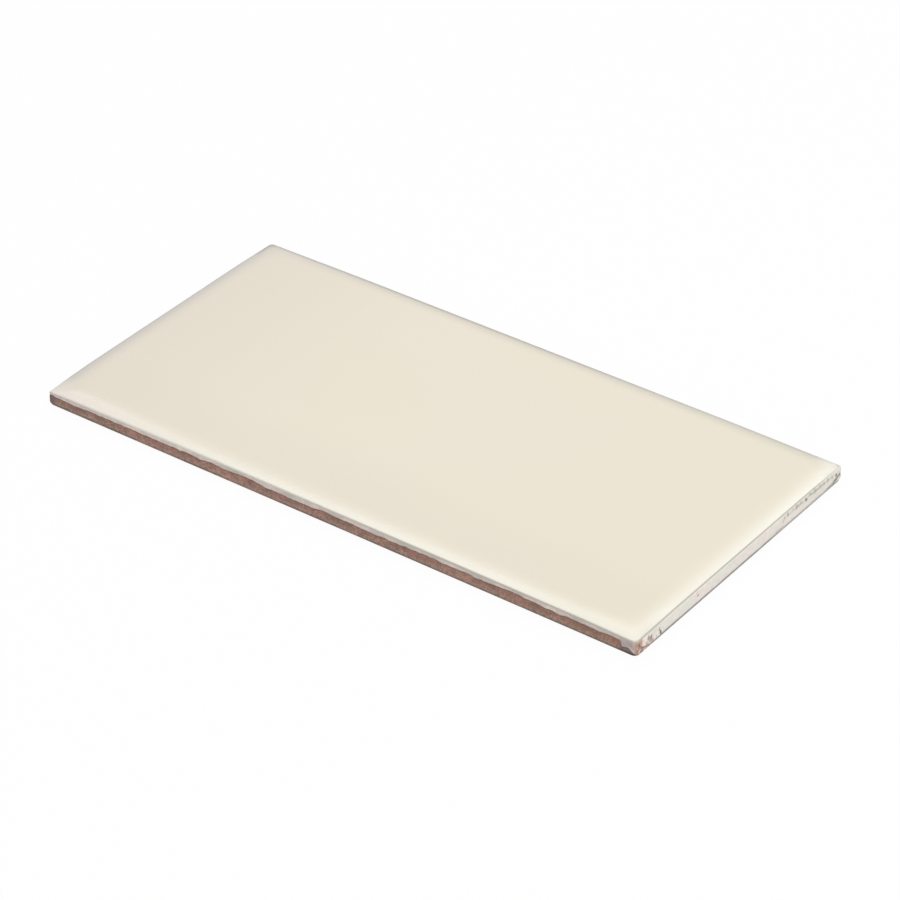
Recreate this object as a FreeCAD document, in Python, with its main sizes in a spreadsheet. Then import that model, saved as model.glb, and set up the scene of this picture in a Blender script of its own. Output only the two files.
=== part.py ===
# A glazed ceramic wall tile of the plain subway kind, lying on its back.
#
# The tile is a dust-pressed and fired clay body with a glaze coat fused to it. The glazed face is flat
# in the middle and falls away to a soft crowned border on all four sides. The glaze wraps over the top
# arris and ends part of the way down the sides, where the bare clay shows. At the trailing end, where
# the glaze ran off the tile, it covers nearly the whole height and turns a little way round both corners.
# The back has a raised field with a waffle of shallow cells pressed into it. The ribs between the cells
# key into the adhesive and carry the tile in the kiln. The rim round the field is set back.
#
# Millimetres. X runs along the length, Y along the width and +Z out of the glazed face. The origin is
# the centre of the back, on the plane that the ribs stand on.

import FreeCAD, Part

import os

import Sketcher
from FreeCAD import Placement, Rotation, Vector

SHEET = "sizes"
CROWN_STEPS = 4

# Driving dimensions: alias, value, what it is.
DRIVING_SIZES = [
    ("tile_length", 200.0, "long side of the glazed tile"),
    ("tile_width", 100.0, "short side of the glazed tile"),
    ("tile_thickness", 6.5, "from the ribs' plane to the flat of the glazed face"),
    ("corner_radius", 1.6, "rounding of the four upright corners"),
    ("crown_width", 6.5, "width of the soft border that falls away from the face"),
    ("crown_drop", 0.9, "how far that border falls before the arris"),
    ("crown_corner_radius", 7.0, "rounding of the corners where the border meets the flat"),
    ("arris_radius", 0.5, "rounding of the glazed top arris"),
    ("clay_arris_radius", 0.4, "rounding of the clay's own top arris, under the glaze"),
    ("foot_radius", 0.6, "rounding of the bottom edge of the clay"),
    ("face_glaze", 0.4, "thickness of the glaze on the face"),
    ("side_glaze", 0.2, "thickness of the glaze on the sides"),
    ("run_depth", 1.55, "how far the glaze runs down below the arris"),
    ("end_run_depth", 4.1, "how far it runs down at the trailing end"),
    ("end_run_wrap", 5.0, "how far the deep run turns round the corners"),
    ("rim_width", 4.0, "plain rim round the ribbed field of the back"),
    ("rib_width", 2.5, "width of the ribs between the cells, where they stand"),
    ("rib_height", 0.6, "height of the field above the rim, and depth of its cells"),
    ("rib_draft", 20.0, "draft of the ribs' flanks, in degrees"),
    ("cell_pitch", 15.0, "spacing aimed at for the cells; an even number of them is fitted"),
    ("tool_margin", 5.0, "how far a cutting profile reaches past the tile"),
]


def size(name):
    """The expression for a driving dimension."""
    return f"{SHEET}.{name}"


# Places that follow from the driving dimensions, as expressions.
CLAY_LENGTH = f"{size('tile_length')} - 2 * {size('side_glaze')}"
CLAY_WIDTH = f"{size('tile_width')} - 2 * {size('side_glaze')}"
CLAY_TOP = f"{size('tile_thickness')} - {size('face_glaze')}"
CLAY_CORNER_RADIUS = f"{size('corner_radius')} - {size('side_glaze')}"
ARRIS_Z = f"{size('tile_thickness')} - {size('crown_drop')}"
RUN_Z = f"{ARRIS_Z} - {size('run_depth')}"
END_RUN_Z = f"{ARRIS_Z} - {size('end_run_depth')}"
FIELD_LENGTH = f"({size('tile_length')} - 2 * {size('rim_width')})"
FIELD_WIDTH = f"({size('tile_width')} - 2 * {size('rim_width')})"


def cell_count(span):
    """An even number of cells between the ribs of a field, near the pitch aimed at."""
    return f"(2 * max(1; round(({span} - {size('rib_width')}) / (2 * {size('cell_pitch')}))))"


def cell_pitch(span):
    """The pitch that spaces those cells evenly, with a rib along both edges of the field."""
    return f"(({span} - {size('rib_width')}) / {cell_count(span)})"


def add_sheet(doc):
    sheet = doc.addObject("Spreadsheet::Sheet", SHEET)
    for row, (alias, value, meaning) in enumerate(DRIVING_SIZES, start=1):
        sheet.set(f"A{row}", alias)
        sheet.set(f"B{row}", str(value))
        sheet.setAlias(f"B{row}", alias)
        sheet.set(f"C{row}", meaning)
    doc.recompute()
    return sheet


def origin_plane(body, role):
    return next(f for f in body.Origin.OriginFeatures if f.Role == role)


def add_sketch(body, name, role, height="0"):
    """A sketch on one of the body's origin planes, raised along the plane's normal by height."""
    sketch = body.newObject("Sketcher::SketchObject", name)
    sketch.AttachmentSupport = [(origin_plane(body, role), "")]
    sketch.MapMode = "FlatFace"
    sketch.setExpression(".AttachmentOffset.Base.z", height)
    return sketch


def dimension(sketch, kind, *where, value, name, bound_to):
    """A named dimension of a sketch, bound to an expression of the sheet."""
    index = sketch.addConstraint(Sketcher.Constraint(kind, *where, value))
    sketch.renameConstraint(index, name)
    sketch.setExpression(f".Constraints.{name}", bound_to)


def draw_rounded_rectangle(sketch, length, width, radius):
    """A rectangle centred on the sketch's origin, with equal rounded corners."""
    half_x, half_y, r = 30.0, 20.0, 2.0
    centres = [(half_x - r, r - half_y), (half_x - r, half_y - r), (r - half_x, half_y - r), (r - half_x, r - half_y)]
    quarter = FreeCAD.Units.Quantity("90 deg").getValueAs("rad").Value
    ends = [
        (Vector(r - half_x, -half_y), Vector(half_x - r, -half_y)),
        (Vector(half_x, r - half_y), Vector(half_x, half_y - r)),
        (Vector(half_x - r, half_y), Vector(r - half_x, half_y)),
        (Vector(-half_x, half_y - r), Vector(-half_x, r - half_y)),
    ]
    for start, end in ends:
        sketch.addGeometry(Part.LineSegment(start, end))
    for corner, (x, y) in enumerate(centres):
        circle = Part.Circle(Vector(x, y), Vector(0, 0, 1), r)
        sketch.addGeometry(Part.ArcOfCircle(circle, (corner - 1) * quarter, corner * quarter))
    for side in range(4):
        arc = 4 + side
        sketch.addConstraint(Sketcher.Constraint("Tangent", side, 2, arc, 1))
        sketch.addConstraint(Sketcher.Constraint("Tangent", arc, 2, (side + 1) % 4, 1))
        sketch.addConstraint(Sketcher.Constraint("Horizontal" if side % 2 == 0 else "Vertical", side))
    for arc in (5, 6, 7):
        sketch.addConstraint(Sketcher.Constraint("Equal", 4, arc))
    sketch.addConstraint(Sketcher.Constraint("Symmetric", 4, 3, 6, 3, -1, 1))
    dimension(sketch, "Radius", 4, value=r, name="corner", bound_to=radius)
    dimension(sketch, "DistanceX", 3, 1, 1, 1, value=2 * half_x, name="length", bound_to=length)
    dimension(sketch, "DistanceY", 0, 1, 2, 1, value=2 * half_y, name="width", bound_to=width)


def cut_through(body, sketch, name):
    """A pocket through the whole body, both ways from the sketch."""
    pocket = body.newObject("PartDesign::Pocket", name)
    pocket.Profile = sketch
    pocket.SideType = "Symmetric"
    pocket.Type = "ThroughAll"
    return pocket


def add_crowned_blank(body, prefix, length, width, radius, bottom, top):
    """The pressed blank: upright walls, and over them the crown up to the flat of the face."""
    drop, spread = size("crown_drop"), size("crown_width")
    outline = add_sketch(body, f"{prefix}_outline", "XY_Plane", bottom)
    draw_rounded_rectangle(outline, length, width, radius)
    blank = body.newObject("PartDesign::Pad", f"{prefix}_blank")
    blank.Profile = outline
    blank.setExpression("Length", f"{top} - {drop} - ({bottom})")
    # The crown is an arc that leaves the flat without a crease. Its level sections grow inwards from
    # the walls to the flat, and their corners grow rounder, so that no mitre shows.
    arc_radius = f"(({spread} ^ 2 + {drop} ^ 2) / (2 * {drop}))"
    sections = []
    for step in range(CROWN_STEPS + 1):
        outward = f"({spread} * {CROWN_STEPS - step} / {CROWN_STEPS})"
        inset = f"({spread} * {step} / {CROWN_STEPS})"
        fall = f"({arc_radius} - sqrt({arc_radius} ^ 2 - {outward} ^ 2))"
        rounding = f"{radius} + ({size('crown_corner_radius')} - ({radius})) * {step} / {CROWN_STEPS}"
        section = add_sketch(body, f"{prefix}_crown_section_{step}", "XY_Plane", f"{top} - {fall}")
        draw_rounded_rectangle(section, f"{length} - 2 * {inset}", f"{width} - 2 * {inset}", rounding)
        sections.append(section)
    body.Document.recompute()
    crown = body.newObject("PartDesign::AdditiveLoft", f"{prefix}_crown")
    crown.Profile = sections[0]
    crown.Sections = sections[1:]
    crown.Ruled = False
    body.Document.recompute()


def outline_distance(point, length, width, radius):
    """How far a point lies from the upright walls of a rounded rectangle."""
    x = abs(point.x) - (length / 2 - radius)
    y = abs(point.y) - (width / 2 - radius)
    if x > 0 and y > 0:
        return abs((x * x + y * y) ** 0.5 - radius)
    return abs(max(x, y) - radius)


def wall_edges(shape, length, width, radius, lowest, highest):
    """Names of the level edges round the walls, between two heights."""
    found = []
    for number, edge in enumerate(shape.Edges, start=1):
        points = edge.discretize(5)
        upright = (points[0] - points[-1]).cross(Vector(0, 0, 1)).Length < 1e-4
        on_wall = all(outline_distance(p, length, width, radius) < 1e-3 for p in points)
        if on_wall and not upright and all(lowest <= p.z <= highest for p in points):
            found.append(f"Edge{number}")
    return found


def add_wall_fillet(body, name, radius, walls, lowest, highest):
    """Rounds the edges round the walls that lie between two heights."""
    base = body.Tip
    fillet = body.newObject("PartDesign::Fillet", name)
    fillet.Base = (base, wall_edges(base.Shape, *walls, lowest, highest))
    fillet.setExpression("Radius", radius)
    body.Document.recompute()
    return fillet


def draw_rectangle(sketch, length, width, back_x, back_y):
    """A rectangle whose centre lies back from the sketch's origin, along both axes."""
    half_x, half_y, x, y = 3.0, 2.0, -20.0, -10.0
    corners = [
        Vector(x - half_x, y - half_y), Vector(x + half_x, y - half_y),
        Vector(x + half_x, y + half_y), Vector(x - half_x, y + half_y),
    ]
    for index, start in enumerate(corners):
        sketch.addGeometry(Part.LineSegment(start, corners[(index + 1) % 4]))
    for side in range(4):
        sketch.addConstraint(Sketcher.Constraint("Coincident", side, 2, (side + 1) % 4, 1))
        sketch.addConstraint(Sketcher.Constraint("Horizontal" if side % 2 == 0 else "Vertical", side))
    left, bottom = f"{back_x} + {length} / 2", f"{back_y} + {width} / 2"
    dimension(sketch, "DistanceX", 0, 1, 0, 2, value=2 * half_x, name="length", bound_to=length)
    dimension(sketch, "DistanceY", 1, 1, 1, 2, value=2 * half_y, name="width", bound_to=width)
    dimension(sketch, "DistanceX", 0, 1, -1, 1, value=half_x - x, name="left", bound_to=left)
    dimension(sketch, "DistanceY", 0, 1, -1, 1, value=half_y - y, name="bottom", bound_to=bottom)


def add_keyed_back(body):
    """The raised field of the back, and the waffle of cells pressed into it."""
    field_outline = add_sketch(body, "field_outline", "XY_Plane", size("rib_height"))
    draw_rounded_rectangle(field_outline, FIELD_LENGTH, FIELD_WIDTH, size("rib_width"))
    field = body.newObject("PartDesign::Pad", "field")
    field.Profile = field_outline
    field.Reversed = True
    field.setExpression("Length", size("rib_height"))
    field.setExpression("TaperAngle", f"-{size('rib_draft')}")
    pitches = [cell_pitch(span) for span in (FIELD_LENGTH, FIELD_WIDTH)]
    counts = [cell_count(span) for span in (FIELD_LENGTH, FIELD_WIDTH)]
    steps = [f"({count} - 1) * {pitch}" for count, pitch in zip(counts, pitches)]
    cell_outline = add_sketch(body, "cell_outline", "XY_Plane")
    sides = [f"({pitch} - {size('rib_width')})" for pitch in pitches]
    draw_rectangle(cell_outline, *sides, *[f"{step} / 2" for step in steps])
    body.Document.recompute()
    cell = body.newObject("PartDesign::Pocket", "cell")
    cell.Profile = cell_outline
    cell.Reversed = True
    cell.setExpression("Length", size("rib_height"))
    cell.setExpression("TaperAngle", f"-{size('rib_draft')}")
    body.Document.recompute()
    waffle = body.newObject("PartDesign::LinearPattern", "waffle")
    waffle.Originals = [cell]
    waffle.Direction = (cell_outline, ["H_Axis"])
    waffle.Direction2 = (cell_outline, ["V_Axis"])
    waffle.setExpression("Length", steps[0])
    waffle.setExpression("Occurrences", counts[0])
    waffle.setExpression("Length2", steps[1])
    waffle.setExpression("Occurrences2", counts[1])
    body.Tip = waffle
    body.Document.recompute()


def add_clay_body(doc, sheet):
    """The pressed and fired body, with its crowned top, rounded foot and keyed back."""
    body = doc.addObject("PartDesign::Body", "ClayBody")
    body.Label = "clay_body"
    add_crowned_blank(body, "clay", CLAY_LENGTH, CLAY_WIDTH, CLAY_CORNER_RADIUS, size("rib_height"), CLAY_TOP)
    walls = (
        sheet.tile_length - 2 * sheet.side_glaze,
        sheet.tile_width - 2 * sheet.side_glaze,
        sheet.corner_radius - sheet.side_glaze,
    )
    top = sheet.tile_thickness - sheet.face_glaze
    middle = (sheet.rib_height + top - sheet.crown_drop) / 2
    add_wall_fillet(body, "clay_arris", size("clay_arris_radius"), walls, middle, top)
    add_wall_fillet(body, "clay_foot", size("foot_radius"), walls, 0, middle)
    add_keyed_back(body)
    return body


def draw_bare_clay(sketch):
    """What the glaze leaves bare: below the run line, and lower down at the trailing end."""
    left, step, right, bottom, end_z, run_z = -40.0, 20.0, 40.0, -5.0, 2.0, 4.0
    outline = [
        Vector(left, bottom), Vector(right, bottom), Vector(right, end_z),
        Vector(step, end_z), Vector(step, run_z), Vector(left, run_z),
    ]
    for index, start in enumerate(outline):
        sketch.addGeometry(Part.LineSegment(start, outline[(index + 1) % len(outline)]))
    for line in range(len(outline)):
        sketch.addConstraint(Sketcher.Constraint("Coincident", line, 2, (line + 1) % len(outline), 1))
        sketch.addConstraint(Sketcher.Constraint("Horizontal" if line % 2 == 0 else "Vertical", line))
    margin = size("tool_margin")
    half_length = f"{size('tile_length')} / 2"
    dimension(sketch, "DistanceX", 0, 1, -1, 1, value=-left, name="left", bound_to=f"{half_length} + {margin}")
    dimension(sketch, "DistanceX", -1, 1, 1, 1, value=right, name="right", bound_to=f"{half_length} + {margin}")
    dimension(sketch, "DistanceY", 0, 1, -1, 1, value=-bottom, name="bottom", bound_to=margin)
    step_place = f"{half_length} - {size('end_run_wrap')}"
    dimension(sketch, "DistanceX", -1, 1, 3, 1, value=step, name="step", bound_to=step_place)
    dimension(sketch, "DistanceY", -1, 1, 3, 1, value=end_z, name="end_run", bound_to=END_RUN_Z)
    dimension(sketch, "DistanceY", -1, 1, 4, 2, value=run_z, name="run", bound_to=RUN_Z)


def add_glaze_coat(doc, sheet, clay):
    """The glaze: the tile's outer form above the run line, less the clay under it."""
    form = doc.addObject("PartDesign::Body", "GlazeForm")
    form.Label = "glaze_form"
    add_crowned_blank(
        form, "glaze", size("tile_length"), size("tile_width"), size("corner_radius"), "0", size("tile_thickness")
    )
    walls = (sheet.tile_length, sheet.tile_width, sheet.corner_radius)
    middle = (sheet.tile_thickness - sheet.crown_drop) / 2
    add_wall_fillet(form, "glaze_arris", size("arris_radius"), walls, middle, sheet.tile_thickness)
    bare = add_sketch(form, "bare_clay_outline", "XZ_Plane")
    draw_bare_clay(bare)
    cut_through(form, bare, "bare_clay")
    doc.recompute()
    coat = doc.addObject("Part::Cut", "GlazeCoat")
    coat.Label = "glaze_coat"
    coat.Base = form
    coat.Tool = clay
    doc.recompute()
    return coat


def check(doc, pieces):
    """Stops if a feature failed or a piece is not one sound solid."""
    failed = [o.Name for o in doc.Objects if "Invalid" in o.State or "Error" in o.State]
    if failed:
        raise RuntimeError(f"these features failed: {failed}")
    for piece in pieces:
        shape = piece.Shape
        if shape.isNull() or not shape.isValid() or len(shape.Solids) != 1:
            raise RuntimeError(f"{piece.Label} is not one valid solid")
        box = shape.BoundBox
        print(
            f"{piece.Label}: {box.XLength:.2f} x {box.YLength:.2f} x {box.ZLength:.2f} mm, "
            f"z {box.ZMin:.2f} to {box.ZMax:.2f}, {shape.Volume / 1000:.2f} cm3, {len(shape.Faces)} faces"
        )


def export(pieces):
    os.makedirs("parts", exist_ok=True)
    for piece in pieces:
        piece.Shape.exportStep(f"parts/{piece.Label}.step")


def main():
    doc = FreeCAD.newDocument("wall_tile")
    sheet = add_sheet(doc)
    clay = add_clay_body(doc, sheet)
    coat = add_glaze_coat(doc, sheet, clay)
    pieces = [clay, coat]
    for piece in pieces:
        piece.Placement = Placement(Vector(0, 0, 0), Rotation())
    doc.recompute()
    check(doc, pieces)
    export(pieces)


main()
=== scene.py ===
# %% [markdown]
# # A cream glazed wall tile
#
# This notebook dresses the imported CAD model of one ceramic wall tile, so that it looks like the real
# thing. The CAD model fixes the size and place of everything. Here each surface gets the shape and
# finish that it has in the hand: a glossy glaze that wraps over a soft edge and stops at a wavy line, a
# bare red clay body under it, and a waffle pressed into the back.

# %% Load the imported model
import bmesh
import bpy
import math
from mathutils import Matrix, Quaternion, Vector


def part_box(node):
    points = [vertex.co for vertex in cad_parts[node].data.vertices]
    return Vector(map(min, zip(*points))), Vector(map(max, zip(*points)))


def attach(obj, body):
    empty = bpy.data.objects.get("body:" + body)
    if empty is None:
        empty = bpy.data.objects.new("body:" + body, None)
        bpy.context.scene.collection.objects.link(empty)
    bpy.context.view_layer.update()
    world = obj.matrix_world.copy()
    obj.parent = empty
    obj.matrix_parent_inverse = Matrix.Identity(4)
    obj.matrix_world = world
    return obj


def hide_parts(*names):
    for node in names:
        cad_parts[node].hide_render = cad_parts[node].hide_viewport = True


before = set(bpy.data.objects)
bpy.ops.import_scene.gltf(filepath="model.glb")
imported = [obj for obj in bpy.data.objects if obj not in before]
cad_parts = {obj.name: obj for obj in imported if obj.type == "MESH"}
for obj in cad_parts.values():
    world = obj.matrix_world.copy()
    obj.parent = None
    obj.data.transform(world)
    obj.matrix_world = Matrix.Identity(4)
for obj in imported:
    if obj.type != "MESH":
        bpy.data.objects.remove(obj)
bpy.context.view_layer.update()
print("nodes:", sorted(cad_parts))

# %% [markdown]
# ## The camera
#
# A product shot like this is taken from well back with a long lens, so that the tile's edges stay nearly
# parallel. A camera can be aimed by hand, or its matrix can be worked out from the corners of the
# object. Here it was worked out from seven corners, and is written as an aim point, a direction, a
# distance and a small roll, because those are easy to read and to change.

# %% Aim the camera
AIM = Vector((0.0030, 0.0008, -0.0014))
AZIMUTH = math.radians(36.65)
ELEVATION = math.radians(34.12)
DISTANCE = 1.0347
ROLL = math.radians(-0.22)
LENS_MM = 148.8
SENSOR_MM = 36.0

camera_data = bpy.data.cameras.new("camera")
camera_data.lens = LENS_MM
camera_data.sensor_width = SENSOR_MM
camera = bpy.data.objects.new("camera", camera_data)
bpy.context.scene.collection.objects.link(camera)
outward = Vector((
    math.sin(AZIMUTH) * math.cos(ELEVATION),
    -math.cos(AZIMUTH) * math.cos(ELEVATION),
    math.sin(ELEVATION),
))
level = (-outward).to_track_quat("-Z", "Y")
camera.rotation_mode = "QUATERNION"
camera.rotation_quaternion = level @ Quaternion((0.0, 0.0, 1.0), ROLL)
camera.location = AIM + outward * DISTANCE
bpy.context.scene.camera = camera
print("camera at", tuple(round(c, 4) for c in camera.location))

# %% [markdown]
# ## The sizes
#
# The tile is made of few sizes, and the CAD model already has them. They are written once here, in
# metres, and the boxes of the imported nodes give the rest. Every piece below is built from these values,
# so it lands exactly where its CAD node is.

# %% Write down the sizes
MM = 0.001
HALF_LENGTH, HALF_WIDTH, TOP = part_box("glaze_coat")[1]
CLAY_HALF_LENGTH, CLAY_HALF_WIDTH, CLAY_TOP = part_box("clay_body")[1]
CORNER_RADIUS = 1.0 * MM
FOOT_CORNER_GROWTH = 0.9 * MM
FRONT_LEFT_SHARPER = 0.7 * MM
CORNER_SAG = 0.3 * MM
CROWN_WIDTH = 6.5 * MM
CROWN_DROP = 0.9 * MM
CROWN_CORNER_RADIUS = 7.0 * MM
GLAZE_ARRIS_RADIUS = 0.5 * MM
CLAY_ARRIS_RADIUS = 0.4 * MM
SIDE_GLAZE = HALF_LENGTH - CLAY_HALF_LENGTH
FOOT_RADIUS = 0.6 * MM
RIM_HEIGHT = 0.6 * MM
RIM_WIDTH = 4.0 * MM
RIB_WIDTH = 2.5 * MM
CELLS_LONG, CELLS_WIDE = 12, 6
ARRIS_Z = TOP - CROWN_DROP
WELD_DISTANCE = 0.002 * MM
print(f"glazed {2000 * HALF_LENGTH:.1f} x {2000 * HALF_WIDTH:.1f} x {1000 * TOP:.1f} mm")
print(f"glaze on the sides {1000 * SIDE_GLAZE:.2f} mm")

# %% [markdown]
# ## Writing rules as formulas
#
# Geometry Nodes and materials both work out numbers with Math nodes. Wiring them one at a time hides the
# rule that they make. A small class that stands for a wire, and adds a Math node for each sum or product,
# lets a rule be written as a formula and still ends up as ordinary nodes.

# %% A wire that can be reckoned with
class Wire:
    """A number, or a geometry, that flows through a node tree."""

    def __init__(self, socket):
        self.socket = socket
        self.tree = socket.id_data

    def __add__(self, other):
        return math_node("ADD", self, other)

    def __sub__(self, other):
        return math_node("SUBTRACT", self, other)

    def __mul__(self, other):
        return math_node("MULTIPLY", self, other)

    def __truediv__(self, other):
        return math_node("DIVIDE", self, other)

    def __rsub__(self, other):
        return math_node("SUBTRACT", other, self)

    def __rtruediv__(self, other):
        return math_node("DIVIDE", other, self)

    __radd__ = __add__
    __rmul__ = __mul__


def plug(value, socket):
    """Joins a wire to a socket, or writes a plain value on it."""
    if isinstance(value, Wire):
        value.tree.links.new(value.socket, socket)
    else:
        socket.default_value = value


def tree_of(values):
    """The node tree that the wires among these values run in."""
    return next(value.tree for value in values if isinstance(value, Wire))


def math_node(operation, *terms, clamp=False):
    node = tree_of(terms).nodes.new("ShaderNodeMath")
    node.operation = operation
    node.use_clamp = clamp
    for term, socket in zip(terms, node.inputs):
        plug(term, socket)
    return Wire(node.outputs[0])


def ramp(value, start, end, low=0.0, high=1.0, kind="SMOOTHSTEP"):
    """Goes from low to high while value goes from start to end, and stays level outside."""
    node = value.tree.nodes.new("ShaderNodeMapRange")
    node.interpolation_type = kind
    node.clamp = True
    names = ("Value", "From Min", "From Max", "To Min", "To Max")
    for name, term in zip(names, (value, start, end, low, high)):
        plug(term, node.inputs[name])
    return Wire(node.outputs["Result"])


def new_node(tree, kind, output=0, settings=None, **values):
    """Adds a node with its settings and its inputs by name, and returns one of its outputs."""
    node = tree.nodes.new(kind)
    for name, value in (settings or {}).items():
        setattr(node, name, value)
    for name, value in values.items():
        plug(value, node.inputs[name.replace("_", " ")])
    return Wire(node.outputs[output])


def split_xyz(vector):
    """The three numbers of a vector."""
    parts = vector.tree.nodes.new("ShaderNodeSeparateXYZ")
    plug(vector, parts.inputs[0])
    return [Wire(socket) for socket in parts.outputs]


def join_xyz(*numbers):
    """The vector of three numbers."""
    place = tree_of(numbers).nodes.new("ShaderNodeCombineXYZ")
    for number, socket in zip(numbers, place.inputs):
        plug(number, socket)
    return Wire(place.outputs[0])


# %% Open a node tree with named inputs
def name_sockets(tree, way, entries):
    """Names sockets: a title alone is a number, a word beside it is its type, a number its default."""
    for entry in entries:
        title, extra = entry if isinstance(entry, tuple) else (entry, None)
        kind = extra if isinstance(extra, str) else "Float"
        socket = tree.interface.new_socket(title, in_out=way, socket_type="NodeSocket" + kind)
        if isinstance(extra, float):
            socket.default_value = extra


def new_tree(name, inputs, kind="GeometryNodeTree", outputs=(("Geometry", "Geometry"),)):
    """A node tree, its input wires by name, and the node that its outputs leave by."""
    tree = bpy.data.node_groups.new(name, kind)
    name_sockets(tree, "INPUT", inputs)
    name_sockets(tree, "OUTPUT", outputs)
    entry = tree.nodes.new("NodeGroupInput")
    leave = tree.nodes.new("NodeGroupOutput")
    wires = {socket.name: Wire(socket) for socket in entry.outputs if socket.name}
    return tree, wires, leave


def run_tree(piece, tree, **values):
    """Runs a geometry tree on a piece with these inputs and keeps the result as a plain mesh."""
    modifier = piece.modifiers.new(tree.name, "NODES")
    modifier.node_group = tree
    for item in tree.interface.items_tree:
        name = item.name.replace(" ", "_").lower()
        if item.item_type == "SOCKET" and item.in_out == "INPUT" and name in values:
            modifier[item.identifier] = values[name]
    depsgraph = bpy.context.evaluated_depsgraph_get()
    mesh = bpy.data.meshes.new_from_object(piece.evaluated_get(depsgraph), depsgraph=depsgraph)
    piece.modifiers.clear()
    piece.data = mesh
    mesh.name = piece.name
    return piece


def new_piece(name, points, edges=(), faces=()):
    mesh = bpy.data.meshes.new(name)
    mesh.from_pydata(points, edges, faces)
    piece = bpy.data.objects.new(name, mesh)
    bpy.context.scene.collection.objects.link(piece)
    return piece


# %% [markdown]
# ## A section carried round the tile
#
# The glaze and the clay both follow one rule: the same edge section runs round the whole tile. A curve
# with a bevel would do it, but its inner side would fold over itself at the corners, because the soft
# border is much wider than the corner's radius. So each point of the section says how far it lies in from
# the outline, how round the corners are at that depth, and how high it is. A tree then places that point
# at every step of the way round.

# %% Place a point of the section on its ring
def way_round(columns, column, half_length, half_width, corner_share):
    """Where a column stands on its way round: the share walked of each side, and the quarter turns made."""
    along = column / columns
    short_share = half_width / (half_length + half_width) * 0.5
    stops = (0.0, short_share, 0.5, short_share + 0.5, 1.0)
    turn = 0.0
    for start, stop in zip(stops, stops[1:]):
        turn = ramp(along, start, stop, kind="LINEAR") + turn
    side = math_node("MINIMUM", math_node("FLOOR", turn + 1e-5), 3.0)
    share = turn - side
    is_long = math_node("MODULO", side, 2.0)
    corner = corner_share - is_long * corner_share * (1.0 - half_width / half_length)
    slide = math_node("DIVIDE", share, 1.0 - corner, clamp=True)
    rounded = math_node("DIVIDE", share - (1.0 - corner), corner, clamp=True)
    walked = side + slide
    sides = [math_node("SUBTRACT", walked, float(number), clamp=True) for number in range(4)]
    return sides, side + rounded


def ring_point(sides, quarters, half_length, half_width, inset, radius):
    """The place on a rounded rectangle that lies in from the outline by inset."""
    angle = quarters * (math.pi / 2)
    across_x = half_length - inset - radius
    across_y = half_width - inset - radius
    x = across_x * (1.0 - 2.0 * sides[1] + 2.0 * sides[3]) + radius * math_node("COSINE", angle)
    y = across_y * (2.0 * sides[0] - 2.0 * sides[2] - 1.0) + radius * math_node("SINE", angle)
    return x, y


# %% Read the section, row by row
def sample_rows(section, row, value, data_type):
    """What the section's points say, for each row of the grid."""
    settings = {"data_type": data_type, "clamp": True}
    return new_node(
        section.tree, "GeometryNodeSampleIndex", "Value", settings, Geometry=section, Value=value, Index=row
    )


def read_number(section, row, name):
    """A number that the section's points carry, for each row of the grid."""
    settings = {"data_type": "FLOAT"}
    value = new_node(section.tree, "GeometryNodeInputNamedAttribute", "Attribute", settings, Name=name)
    return sample_rows(section, row, value, "FLOAT")


def section_grid(wires):
    """A grid of rows and columns, and the section's inset, corner radius and height for each row of it."""
    section, columns = wires["Geometry"], wires["Columns"]
    tree = section.tree
    rows = new_node(tree, "GeometryNodeAttributeDomainSize", "Point Count", Geometry=section)
    grid = new_node(tree, "GeometryNodeMeshGrid", "Mesh", Vertices_X=columns + 1.0, Vertices_Y=rows)
    index = new_node(tree, "GeometryNodeInputIndex")
    row = math_node("MODULO", index, rows)
    column = math_node("FLOOR", (index + 0.5) / rows)
    place = new_node(tree, "GeometryNodeInputPosition")
    return grid, row, column, *split_xyz(sample_rows(section, row, place, "FLOAT_VECTOR"))


def keep_levels(geometry, line, height):
    """Stores on every point its millimetres above the lip and its level, for the finish to read."""
    settings = {"data_type": "FLOAT", "domain": "POINT"}
    for name, value in (("above_lip", height - line), ("level", height)):
        geometry = new_node(
            geometry.tree, "GeometryNodeStoreNamedAttribute", settings=settings,
            Geometry=geometry, Name=name, Value=value * 1000.0,
        )
    return geometry


def finish_shell(grid, place, material, leave, extra=None):
    """Moves the grid's points to their places, welds the seam and gives the material."""
    tree = grid.tree
    shell = new_node(tree, "GeometryNodeSetPosition", Geometry=grid, Position=place)
    if extra:
        join = tree.nodes.new("GeometryNodeJoinGeometry")
        plug(shell, join.inputs[0])
        plug(extra, join.inputs[0])
        shell = Wire(join.outputs[0])
    shell = new_node(tree, "GeometryNodeRealizeInstances", Geometry=shell)
    shell = new_node(tree, "GeometryNodeMergeByDistance", Geometry=shell, Distance=WELD_DISTANCE)
    shell = new_node(tree, "GeometryNodeSetShadeSmooth", Geometry=shell)
    plug(new_node(tree, "GeometryNodeSetMaterial", Geometry=shell, Material=material), leave.inputs[0])


# %% [markdown]
# ## The edge section
#
# The face is flat in the middle and falls away over the last few millimetres, in an arc that leaves the
# flat without a crease. A small round arris joins that arc to the upright side. The points are worked
# out from the radii, as a draughtsman would, with more of them where the section bends.

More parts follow.
